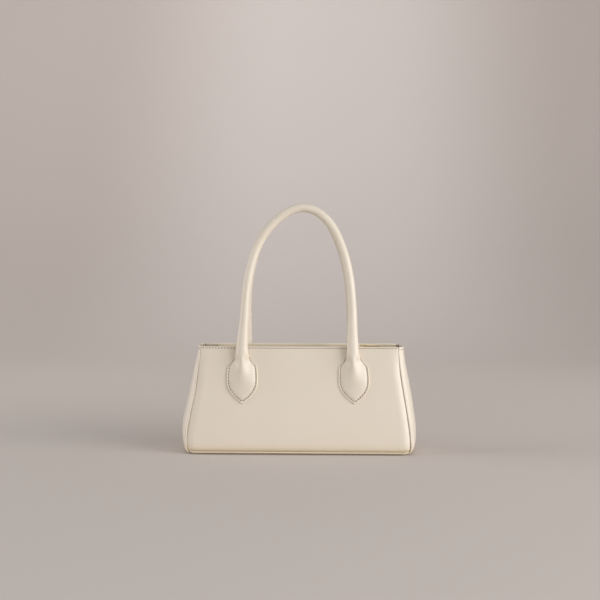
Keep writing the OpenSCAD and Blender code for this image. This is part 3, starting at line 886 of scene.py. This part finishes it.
# %% Rings of the handle
RING = 64
AROUND = [2 * pi * k / RING for k in range(RING)]
DOME_BASE, DOME_TIP_S = 0.95, tip_at(FLANGE_W)
DOME_EDGE, DOME_PAD = 0.9, 2.4  # height of the padding at the tip, and what it gains further up
RIDGE_H, RIDGE_W, RIDGE_SPREAD = 6.0, 4.6, 3.2  # the cord's end as a ridge that fades and spreads
CREASE_IN = 0.5  # how far the leather is drawn in round the fold
WELT, WELT_GROOVE = 0.55, 0.25  # the sewn welt along the inner side, and the groove in it


def dome_ring(s, hand, side):
    """Ring of the tab: a low pillow with a quick edge, and on it the cord's end as a ridge that fades."""
    w = max(dome_half(s) if s < DOME_TIP_S - 3 else tab_half(s, FLANGE_W), 0.1)
    near_tip = unit((DOME_TIP_S - s) / 22.0)
    pillow = (DOME_EDGE + DOME_PAD * near_tip ** 0.8) * (1 - 0.85 * unit((s - DOME_TIP_S + 4) / 4) ** 2)
    ridge = RIDGE_H * (1 - ease((s - 11) / 40)) ** 1.25
    wide = RIDGE_W + RIDGE_SPREAD * ease((s - 12) / 30)
    ring = []
    for a in AROUND:
        c, q = cos(a), sin(a)
        if q >= 0:
            share = abs(c)
            pad = pillow * (0.42 * (1 - share ** 6) ** 0.5 + 0.58 * (1 - share ** 2))
            out = DOME_BASE + pad + ridge * bell(w * c, wide) * (1 - share ** 8)
        else:
            out = DOME_BASE + 0.5 * q
        ring.append(tab_point(w * c, out, s, hand, side))
    return ring


def neck_ring(s, hand, side):
    """Ring of the leg where it lies in front of the panel, an ellipse on the panel's slope."""
    rx = NECK_W / 2 + (TAB_NECK_W - NECK_W) / 2 * unit((s - FOLD_DROP) / (NECK_DROP - FOLD_DROP)) ** 2
    rx -= CREASE_IN * bell(s - 3.0, 6.0)
    ry = NECK_D / 2
    return [tab_point(rx * cos(a), ry + RUN_GAP + ry * sin(a), s, hand, side) for a in AROUND]


def flare(z):
    """How much of the neck's extra width is left at a height above the fold: it goes quickly."""
    return (1 - unit(z / FLARE_H)) ** 4.2


def tube_depth(z):
    """Half depth of the roll at a height above the fold."""
    return TUBE_D / 2 + (NECK_D - TUBE_D) / 2 * flare(z)


def handle_world(x, z, out, side):
    """World point from a place across, up and out of the leaning plane of a handle."""
    y = FOLD_Y - z * sin(HANDLE_LEAN) + out * cos(HANDLE_LEAN)
    return mm(x, side * y, FOLD_Z + z * cos(HANDLE_LEAN) + out * sin(HANDLE_LEAN))


def tube_ring(x, z, tx, tz, side):
    """Ring of the rolled tube, in the leaning plane of the handle, with its sewn welt on the inner side."""
    rx = TUBE_D / 2 + (NECK_W - TUBE_D) / 2 * flare(z) - CREASE_IN * bell(z + 1.0, 6.0)
    ry = tube_depth(z)
    welt_here = ease((z - 8) / 12)
    ring = []
    for a in AROUND:
        turn = atan2(sin(a + pi / 2), cos(a + pi / 2))
        from_welt = turn * TUBE_D / 2
        welt = (WELT * bell(from_welt, 1.5) - WELT_GROOVE * bell(from_welt, 0.5)) * welt_here
        soft = 0.12 * uneven(x / 25.0, z / 25.0, a + 5.0 * side)
        across, out = (rx + welt + soft) * cos(a), (ry + welt + soft) * sin(a)
        ring.append(handle_world(x + across * tz, z - across * tx, out, side))
    return ring


print(f"the roll is {2 * tube_depth(FLARE_H):.1f} mm thick, and {2 * tube_depth(0):.1f} mm at its neck")


def leg_rings(hand, side):
    """Rings from the tip of a tab up to the fold line, where the dome turns into the neck."""
    levels = [DOME_TIP_S - 0.05 - 0.025 * i * i for i in range(10)]
    levels += spread(levels[-1] - 0.5, SHOULDER_S + 2, 30) + spread(SHOULDER_S + 1.4, FOLD_DROP + 0.6, 40)
    rings = []
    for s in levels:
        dome, neck, share = dome_ring(s, hand, side), neck_ring(s, hand, side), ease((20 - s) / 13)
        rings.append([p + (q - p) * share for p, q in zip(dome, neck)])
    return rings


def match_rings(last, rings):
    """Turns and, where needed, reverses the point order of rings so that they follow on from the last one."""
    out = []
    for ring in rings:
        orders = [[order[(k + shift) % RING] for k in range(RING)]
                  for order in (ring, list(reversed(ring))) for shift in range(RING)]
        last = min(orders, key=lambda order: sum((order[k] - last[k]).length for k in range(0, RING, 8)))
        out.append(last)
    return out


def handle_skin(name, side):
    rings = leg_rings(-1, side)
    rings += match_rings(rings[-1], [tube_ring(*frame_here, side) for frame_here in arch_frames(side)])
    rings += match_rings(rings[-1], list(reversed(leg_rings(1, side))))
    return grid_piece(name, rings, ring=True, caps=True)


for side, where in SIDES:
    skin = handle_skin(f"{where}_handle_leather", side)
    skin.data.materials.append(HANDLE_LEATHER)
    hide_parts(f"{where}_handle_cover", f"{where}_left_tab", f"{where}_right_tab")
    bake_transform(skin)
    tell(skin)


# %% [markdown]
# ## Handle seam and cord
# The rolled leather meets itself on the inner side of each handle, in a low welt closed by a stitch row.
# Inside lies a cotton cord of three strands, which gives the roll its body.

# %% Welt stitches and cord strands
CORD_FROM, WELT_FROM = 3.5, 16  # heights above the fold where the cord and the stitches start
SEAM_OUT = 0.35  # how far the stitches lie out of the roll, on its welt
STRANDS, STRAND_R, STRAND_OUT, CORD_LAY = 3, 1.4, 1.62, 16.0


def cord_strands(name, side):
    frames = [f for f in arch_frames(side) if f[1] > CORD_FROM]
    points, faces = [], []
    for strand in range(STRANDS):
        start, run, last = len(points), 0.0, None
        for x, z, tx, tz in frames:
            run += hypot(x - last[0], z - last[1]) if last else 0.0
            last = (x, z)
            turn = run / CORD_LAY * 2 * pi + strand * 2 * pi / STRANDS
            for a in OCTAGON:
                across = STRAND_OUT * cos(turn) + STRAND_R * cos(a)
                out = STRAND_OUT * sin(turn) + STRAND_R * sin(a)
                points.append(handle_world(x + across * tz, z - across * tx, out, side))
        end = start + (len(frames) - 1) * 8
        faces += grid_faces(len(frames), 8, True, start)
        faces += [tuple(start + k for k in range(8)), tuple(end + k for k in range(8))]
    return finish_mesh(name, points, faces)


for side, where in SIDES:
    seam = [handle_world(x, z, -tube_depth(z) - SEAM_OUT, side)
            for x, z, *_ in arch_frames(side) if z > WELT_FROM]
    inward = Vector((0.0, -side * cos(HANDLE_LEAN), -sin(HANDLE_LEAN)))
    stitch_row(f"{where}_handle_seam", seam, inward, body=f"{where}_handle")
    cord = cord_strands(f"{where}_handle_cord", side)
    dress(cord, CORD, f"{where}_handle", "core_cord", f"{where}_handle_core")
    tell(cord)


# %% [markdown]
# ## Tab flanges
# Outside the dome the tab lies flat on the panel as a flange two millimetres wide. Its edge is painted and
# slightly rounded, and the stitch row runs in the small valley between dome and flange.

# %% Flange
# The cut through a flange from its outer foot over its round edge to the middle: how far in, and how high.
FLANGE_CUT = ((0.3, 0.02), (0.06, 0.4), (0.0, 0.85), (0.12, 1.3), (0.4, 1.58), (0.8, 1.62), (1.2, 1.42),
              (1.6, 1.1), (2.0, 1.12), (2.5, 1.08), (3.5, 0.9))
VALLEY_OUT = 1.3  # height of the tab's stitches over the panel


def flange_outline(inset):
    """Right half of the outline from the neck to the tip, as places across and down."""
    points = []
    for s in spread(TAB_TOP + 1.5, tip_at(inset), 70)[:-1]:
        points.append((max(tab_half(s, inset) if s > NECK_DROP else tab_half(s, 0) - 0.3 * inset, 0.2), s))
    return points + [(0.0, tip_at(inset))]


def flange_piece(name, hand, side):
    rows = []
    for inset, out in FLANGE_CUT:
        half = flange_outline(inset)
        line = half + [(-x, s) for x, s in reversed(half[:-1])]
        rows.append([tab_point(x, out, s, hand, side) for x, s in line])
    return grid_piece(name, rows, infill=True)


def tab_stitches(name, hand, side):
    half = [(tab_half(s, FLANGE_W - 0.15), s) for s in spread(NECK_DROP + 0.8, DOME_TIP_S, 70)]
    places = half + [(-x, s) for x, s in reversed(half)]
    line = [tab_point(x, VALLEY_OUT, s, hand, side) for x, s in places]
    stitch_row(name, line, panel_normal(side), thread_r=0.42, hole_r=0.74)


for side, where in SIDES:
    for hand, which in HANDS:
        flange = flange_piece(f"{where}_{which}_flange_leather", hand, side)
        dress(flange, EDGE_LEATHER, "bag", "cream_leather", f"{where}_{which}_flange")
        tab_stitches(f"{where}_{which}_tab_stitch", hand, side)
        print(f"{flange.name}: {TAB_W:.1f} mm wide, tip {TIP_S:.1f} mm below the top edge")

# %% [markdown]
# ## Facings and the rows along the top
# A leather facing an inch deep lines the mouth behind each panel. One row of stitches, 2 mm under the folded
# top edge, goes through both and shows on either side.

# %% Facings and top stitches
# The cut round a facing, down the slope and out of the panel's plane, from its top edge round its inner face.
FACING_CUT = ((1.2, -2.85), (0.55, -3.0), (0.35, -3.35), (0.55, -3.75), (1.2, -3.88), (1.6, -3.86),
              (2.0, -3.8), (2.5, -3.86), (5.0, -3.9), (9.0, -3.92), (14.0, -3.92), (19.0, -3.9),
              (23.0, -3.86), (24.6, -3.7), (24.9, -3.3), (24.4, -2.95), (14.0, -2.9), (6.0, -2.88))
FACING_SHORT, FACING_INNER = 1.9, -3.86  # its ends stop short of the seams; place of its inner face
ROW_SHORT = 2.4  # the top row stops this far from the seams
INSIDE_ROW = 92.0  # the row inside stops where the gussets' hems begin to hide it


def facing_piece(name, side):
    rows = []
    for t in spread(-1.0, 1.0, 61):
        ring = []
        for s, n in FACING_CUT:
            edge = half_w(BODY_H - s, 1 if t > 0 else -1) - FACING_SHORT
            soft = 0.22 * uneven(edge * t / 30.0, s / 15.0, 2.0 + side) * unit((s - 4) / 6)
            ring.append(on_panel(edge * t, n + soft, s, side))
        rows.append(ring)
    return grid_piece(name, rows, ring=True, caps=True)


for side, where in SIDES:
    facing = facing_piece(f"{where}_facing_leather", side)
    # The facing wears the painted-shade copy of the cream leather.
    dress(facing, SHADED_LEATHER, "bag", "cream_leather", f"{where}_facing")
    reach = half_w(BODY_H) - ROW_SHORT
    line = [on_panel(x, panel_out(x, STITCH_DROP, reach + ROW_SHORT - abs(x), side) + 0.04, STITCH_DROP, side)
            for x in spread(-reach, reach, 90)]
    stitch_row(f"{where}_top_stitch", line, panel_normal(side), thread_r=0.34, hole_r=0.7)
    line = [on_panel(x, FACING_INNER, STITCH_DROP, side) for x in spread(-INSIDE_ROW, INSIDE_ROW, 80)]
    stitch_row(f"{where}_top_stitch_inside", line, -panel_normal(side), hole_r=0.45)
    print(f"{where} top row: {2 * reach:.0f} mm, {round(2 * reach / STITCH_PITCH)} stitches")

# %% [markdown]
# ## Lining
# Under the facings hangs a bag of cotton twill, sewn to their lower edges and glued to the base. It is cut a
# little too large, so it buckles into soft folds. It starts as one skin: level rings like rounded rectangles,
# going down the walls and then in across the floor. Then Blender's Cloth lets it grow by three hundredths and
# hang, held at its sewn edge and its floor, and the result is kept where it stays inside the leather.


# %% Lining skin
LINING_TOP, LINING_FLOOR = 89.8, 5.22
LINING_POINTS = 120
END_RISE = 15.0  # at its two ends the lining reaches higher, up to the gussets' hems
SQUARENESS = 0.22  # power that turns a round ring into a rounded rectangle


def lining_ring(level, shrink=0.0):
    ring = []
    for k in range(LINING_POINTS):
        a = 2 * pi * (k + 0.5) / LINING_POINTS
        c, s = cos(a), sin(a)
        z = level + END_RISE * ease((abs(c) - 0.72) / 0.2) * unit((level - 60) / 30)
        hw = half_w(z) - 1.3 + swell_at(z) * 0.75 - shrink
        hd = half_d(z) - (3.3 + 1.2 * unit((z - 88) / 4)) / cos(LEAN) - shrink * 0.6
        x = hw * copysign(abs(c) ** SQUARENESS, c)
        y = hd * copysign(abs(s) ** SQUARENESS, s)
        fold = 0.9 * uneven(x / 16.0, y / 16.0, z / 38.0)
        fold += 0.5 * uneven(x / 7.0, 9.0, z / 25.0)
        pull = (0.6 + fold) * unit((LINING_TOP - level) / 12) * unit((z - 4) / 10)
        ring.append(mm(x * (1 - pull / hw), y * (1 - pull / hd), z))
    return ring


lining_rows = [lining_ring(z) for z in spread(LINING_TOP, 6.2, 34)]
lining_rows += [lining_ring(5.6, 0.8), lining_ring(5.3, 2.5)]
floor_ring = lining_rows[-1]
lining_rows += [[Vector((p.x * share, p.y * share, LINING_FLOOR * MM)) for p in floor_ring]
                for share in (0.8, 0.5, 0.2)]
lining = grid_piece("lining_twill", lining_rows, ring=True, infill=True)
dress(lining, LINING, "bag", "lining_fabric",
      "lining_front", "lining_back", "lining_left", "lining_right", "lining_base")
tell(lining)

# %% The lining hangs
CLOTH_FRAMES, CLOTH_REACH, CLOTH_GROWTH = 20, 4.0, 0.03


def hang_cloth(piece, held):
    """Runs Cloth on a piece held at some of its points, and keeps the result on its mesh, each point moved no
    more than a few millimetres and never outwards."""
    before = [v.co.copy() for v in piece.data.vertices]
    group = piece.vertex_groups.new(name="sewn_edge")
    group.add([v.index for v in piece.data.vertices if held(v)], 1.0, "ADD")
    cloth = piece.modifiers.new("hanging", "CLOTH")
    # A light twill: it stretches little, bends easily, and grows while it hangs.
    put(cloth.settings, vertex_group_mass=group.name, quality=5, mass=0.2, tension_stiffness=15.0,
        compression_stiffness=15.0, bending_stiffness=0.4, shrink_min=-CLOTH_GROWTH)
    scene = bpy.context.scene
    for frame_number in range(1, CLOTH_FRAMES + 1):
        scene.frame_set(frame_number)
    hung = piece.evaluated_get(bpy.context.evaluated_depsgraph_get())
    after = [v.co.copy() for v in hung.data.vertices]
    piece.modifiers.remove(cloth)
    piece.vertex_groups.remove(group)
    scene.frame_set(1)
    moved = 0.0
    for v, a, b in zip(piece.data.vertices, before, after):
        step = b - a
        step *= min(1.0, CLOTH_REACH * MM / max(step.length, 1e-9))
        x, y = (copysign(min(abs(a[i] + step[i]), abs(a[i]) + 0.2 * MM), a[i]) for i in (0, 1))
        v.co = (x, y, max(a.z + step.z, LINING_FLOOR * MM))
        moved = max(moved, (v.co - a).length)
    return moved


farthest = hang_cloth(lining, lambda v: v.index < LINING_POINTS or v.co.z < 5.5 * MM)
print(f"the lining moved by up to {farthest / MM:.1f} mm")
put(lining.modifiers.new("fine_folds", "SUBSURF"), levels=1, render_levels=1)
thicken(lining, -0.45)

# %% [markdown]
# ## Zip
# Two leather strips run in from the facings and carry the zip. Each has a folded edge along the channel with
# a row of stitches, and a cotton tape under it that holds the teeth.

# %% Strips and tapes
ZIP_X, STRIP_L, STRIP_Z, TAPE_Z = -4.0, 172.0, 112.4, 110.78
STRIP_SAG, STRIP_END = 0.25, 0.6  # the strip hangs in its middle, and is pressed thin at its ends
STRIP_ROW_Y, STRIP_ROW_HALF = 8.6, 84  # its row of stitches
# The cuts through a strip and a tape: how far from the middle of the bag, and how high.
STRIP_CUT = ((6.9, 0.0), (6.55, -0.25), (6.5, -0.6), (6.6, -0.95), (7.0, -1.15), (9.0, -1.18), (13.0, -1.15),
             (16.2, -1.1), (16.25, -0.4), (16.1, 0.02), (13.0, 0.0), (10.5, 0.02), (9.0, 0.0),
             (8.6, -0.1), (8.2, 0.0))
TAPE_CUT = ((1.8, 0.2), (1.8, -0.2), (5.0, -0.27), (10.8, -0.25), (10.9, 0.2), (5.0, 0.27))


def strip_piece(name, side):
    rows = []
    for t in spread(0.0, 1.0, 41):
        x = ZIP_X + STRIP_L * (t - 0.5)
        end = 0.5 * (unit(1 - t * 40) + unit(1 - (1 - t) * 40))
        sag = -STRIP_SAG * sin(pi * t) + 0.12 * uneven(x / 18.0, side, 0.5)
        row = []
        for y, z in STRIP_CUT:
            height = STRIP_Z + z * (1 - end) - STRIP_END * end + sag * (1 - unit((y - 6) / 10))
            row.append(mm(x, side * y, height))
        rows.append(row)
    return grid_piece(name, rows, ring=True, caps=True)


def tape_piece(name, side):
    rows = []
    for x in spread(ZIP_X - STRIP_L / 2 + 0.5, ZIP_X + STRIP_L / 2 - 0.5, 60):
        wave = 0.06 * sin(x * 2.5)
        rows.append([mm(x, side * y, TAPE_Z + z + wave * 0.3) for y, z in TAPE_CUT])
    return grid_piece(name, rows, ring=True, caps=True)


for side, where in SIDES:
    strip = strip_piece(f"zip_strip_{where}_leather", side)
    # The strip wears the painted-shade copy of the cream leather.
    dress(strip, SHADED_LEATHER, "bag", "cream_leather", f"zip_strip_{where}")
    dress(tape_piece(f"zip_tape_{where}_cotton", side), TAPE, "bag", "lining_fabric", f"zip_tape_{where}")
    line = [mm(x, side * STRIP_ROW_Y, STRIP_Z - 0.25)
            for x in spread(ZIP_X - STRIP_ROW_HALF, ZIP_X + STRIP_ROW_HALF, 30)]
    stitch_row(f"zip_strip_{where}_stitch", line, Vector((0, 0, 1)))
    print(f"{strip.name}: {STRIP_L:.0f} mm long")

# %% [markdown]
# ## Parts kept from the construction model
# Boards and metal parts are rigid, and their solids already have the right shape. They get their materials,
# and the metal edges are broken by a tiny bevel, as tumbling does in the factory.

# %% Finish for the rigid parts
RIGID_FINISH = (("front_board", BOARD, 0.0), ("back_board", BOARD, 0.0), ("base_board", BOARD, 0.0),
                ("zip_teeth_front", BRASS, 0.12), ("zip_teeth_back", BRASS, 0.12),
                ("zip_top_stops", BRASS, 0.15), ("zip_bottom_stop", BRASS, 0.15),
                ("slider_body", BRASS, 0.12), ("puller", BRASS, 0.18))

for name, material, bevel in RIGID_FINISH:
    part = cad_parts[name]
    part.data.materials.clear()
    part.data.materials.append(material)
    if bevel:
        put(part.modifiers.new("tumbled_edge", "BEVEL"), width=bevel * MM, segments=2, limit_method="ANGLE")
print("finished rigid parts:", len(RIGID_FINISH))

# %% [markdown]
# ## Floor, background and light
# A plain warm-grey sweep of paper stands behind the bag. A big softbox from the right makes the gentle
# gradient across the leather and the soft shadows of the handles. A weaker one from the left and a faint one
# from the front fill the shadows, and a narrow one above washes the paper behind the bag.


# %% Floor and backdrop
SIDE_SHADE_FROM, SIDE_SHADE_TO = 0.1, 0.55  # metres from the middle between which painted shade darkens the paper, as the light falls off
FLOOR_LIGHT_FROM, FLOOR_LIGHT_TO = 0.25, 1.6  # metres behind the bag between which the floor's painted light gives way to the darker backdrop
SWEEP_FRONT, SWEEP_BEND, SWEEP_R, SWEEP_TOP = -3.0, 0.9, 1.2, 4.0


def matt_paper(name, floor, middle, sides):
    material, tree, shader, here = new_material(name, {"Roughness": 0.95, "Specular IOR Level": 0.1})
    split = node(tree, "SeparateXYZ", {}, here)
    across = node(tree, "Math", {"operation": "ABSOLUTE"}, {0: (split, "X")})
    # Painted light and shade: a paler floor, and paper growing darker to the sides, in place of the lamps'
    # own falloff.
    back = tint(tree, middle, sides, (soft_step(tree, SIDE_SHADE_FROM, SIDE_SHADE_TO, (across, 0)), 0))
    deep = soft_step(tree, FLOOR_LIGHT_FROM, FLOOR_LIGHT_TO, (split, "Y"))
    tone = node(tree, "Mix", {"data_type": "RGBA", 6: srgb(floor)}, {0: (deep, 0), 7: (back, 2)})
    connect(tree, shader, {"Base Color": (tone, 2)})
    return material


def sweep_piece():
    profile = [(SWEEP_FRONT, 0.0), (-0.5, 0.0), (SWEEP_BEND, 0.0)]
    profile += [(SWEEP_BEND + SWEEP_R * sin(a), SWEEP_R - SWEEP_R * cos(a))
                for a in spread(0.13, pi / 2, 12)]
    profile.append((SWEEP_BEND + SWEEP_R, SWEEP_TOP))
    return grid_piece("paper_sweep", [[Vector((x, y, z)) for x in spread(-4.0, 4.0, 5)] for y, z in profile])


sweep = sweep_piece()
# Matt paper with hardly a highlight, its light and shade painted in: palest on the floor, darker behind the
# bag, and darkest to the sides.
sweep.data.materials.append(matt_paper("matt_paper_sweep", "#d3cac3", "#c3bab5", "#afa59f"))
tell(sweep)


# %% Lamps and world
WASH_SPREAD = radians(110)
ROOM_LIGHT, ROOM_STRENGTH = "#f4f4f6", 0.5


def lamp(name, place, size, power, aim_at=(0, 0, 0.1)):
    data = bpy.data.lights.new(name, "AREA")
    data.shape = "RECTANGLE"
    data.size, data.size_y = size
    data.energy = power
    made = bpy.data.objects.new(name, data)
    made.location = place
    made.rotation_euler = (Vector(aim_at) - Vector(place)).to_track_quat("-Z", "Y").to_euler()
    bpy.context.collection.objects.link(made)
    return made


lamp("key_softbox_right", (2.2, -1.25, 0.65), (2.2, 1.1), 52.0)
lamp("side_softbox_left", (-2.6, -0.15, 0.7), (1.6, 1.2), 27.0)
lamp("fill_front", (0.6, -2.6, 0.6), (2.4, 1.0), 6.0)
wash = lamp("backdrop_wash", (-0.4, 0.9, 2.2), (1.4, 0.5), 6.2, aim_at=(-0.5, 2.1, 0.35))
wash.data.spread = WASH_SPREAD

world = bpy.data.worlds.new("studio_world")
bpy.context.scene.world = world
world.use_nodes = True
room = world.node_tree.nodes["Background"]
room.inputs["Color"].default_value = srgb(ROOM_LIGHT)
room.inputs["Strength"].default_value = ROOM_STRENGTH

bpy.context.scene.view_settings.view_transform = "Standard"
